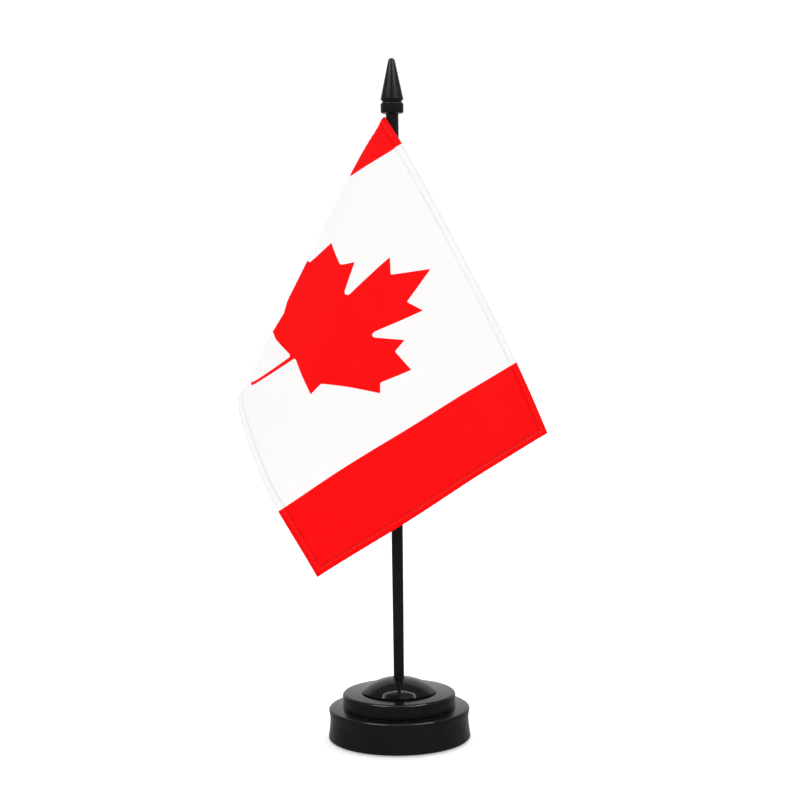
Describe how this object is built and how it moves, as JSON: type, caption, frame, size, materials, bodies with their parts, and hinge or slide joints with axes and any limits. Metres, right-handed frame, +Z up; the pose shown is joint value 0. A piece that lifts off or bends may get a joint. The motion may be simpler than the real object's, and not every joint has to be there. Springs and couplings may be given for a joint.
{
  "type": "desk flag stand",
  "caption": "Small draped flag on a push-in pole with a spear finial, standing in a weighted round two-tier base.",
  "frame": {"origin": "centre of the foam pad's underside, where the stand rests on the table", "axes": "+Z up along the pole's axis, -Y to the front, the side that the flag's front panel faces, +X to the right from the front"},
  "size_m": [0.1606, 0.0742, 0.3522],
  "materials": {
    "gloss_black": "polished moulded black plastic",
    "satin_black": "satin moulded black plastic",
    "cover_plastic": "matt moulded black plastic",
    "zinc_steel": "zinc plated",
    "ballast_iron": "as cast, unpainted",
    "soft_bush": "soft moulded",
    "foam": "closed-cell foam",
    "printed_polyester": "printed red and white, light sheen"
  },
  "bodies": {
    "base": {"lower_tier_shell": "gloss_black", "upper_tier_disc": "gloss_black", "dome_cap": "gloss_black", "socket_tube": "zinc_steel", "socket_washer": "zinc_steel", "socket_nut": "zinc_steel", "ballast_disc": "ballast_iron", "bottom_cover": "cover_plastic", "cover_screw_1": "zinc_steel", "cover_screw_2": "zinc_steel", "cover_screw_3": "zinc_steel", "foam_pad": "foam"},
    "bush": {"grip_bush": "soft_bush"},
    "pole": {"pole": "satin_black"},
    "finial": {"finial_collar": "satin_black", "finial_spear": "satin_black"},
    "flag": {"flag_cloth": "printed_polyester", "flag_sleeve": "printed_polyester"}
  },
  "joints": [
    {"name": "pole_turn", "type": "hinge", "parent": "base", "child": "bush", "pos_m": [0, 0, 0.01], "axis": [0, 0, 1], "continuous": true},
    {"name": "pole_lift", "type": "slide", "parent": "bush", "child": "pole", "axis": [0, 0, 1], "range_m": [0, 0.032]},
    {"name": "finial_lift", "type": "slide", "parent": "pole", "child": "finial", "axis": [0, 0, 1], "range_m": [0, 0.012]},
    {"name": "flag_turn", "type": "hinge", "parent": "pole", "child": "flag", "pos_m": [0, 0, 0.25], "axis": [0, 0, 1], "continuous": true}
  ]
}
